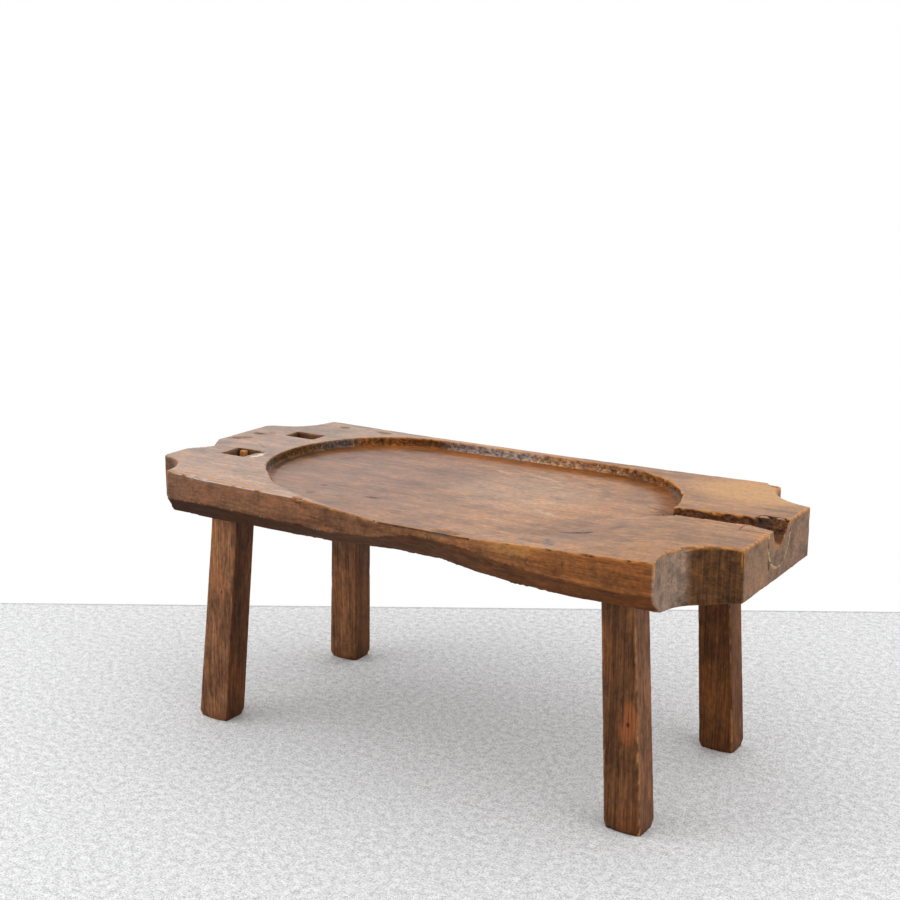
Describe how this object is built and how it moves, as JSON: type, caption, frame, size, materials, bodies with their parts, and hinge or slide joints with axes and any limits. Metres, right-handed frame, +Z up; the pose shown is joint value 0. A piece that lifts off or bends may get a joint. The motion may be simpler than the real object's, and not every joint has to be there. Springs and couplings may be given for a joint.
{
  "type": "low slab table",
  "caption": "Low rustic table: one thick hewn wooden slab with scooped corners, a sunk round-ended tray with a drain spout, and splayed square legs tenoned into its underside.",
  "frame": {"origin": "on the floor under the middle of the slab", "axes": "+X towards the spout end, -Y towards the long side where the tray runs out over the edge, +Z up"},
  "size_m": [1.072, 0.484, 0.44],
  "materials": {
    "slab_wood": "old waxed wood, satin, rubbed pale on the top and orange at the worn edges",
    "insert_wood": "old end grain, dull",
    "stub_wood": "broken wood, dull",
    "leg_wood": "dark waxed wood, satin, worn pale at the corners",
    "wedge_wood": "bare wood"
  },
  "bodies": {
    "root": {"slab": "slab_wood", "spout_insert": "insert_wood", "mortise_stub": "stub_wood", "front_left_leg": "leg_wood", "rear_left_leg": "leg_wood", "front_right_leg": "leg_wood", "rear_right_leg": "leg_wood", "front_left_tenon_wedge": "wedge_wood", "rear_left_tenon_wedge": "wedge_wood", "front_right_tenon_wedge": "wedge_wood", "rear_right_tenon_wedge": "wedge_wood"}
  },
  "joints": []
}
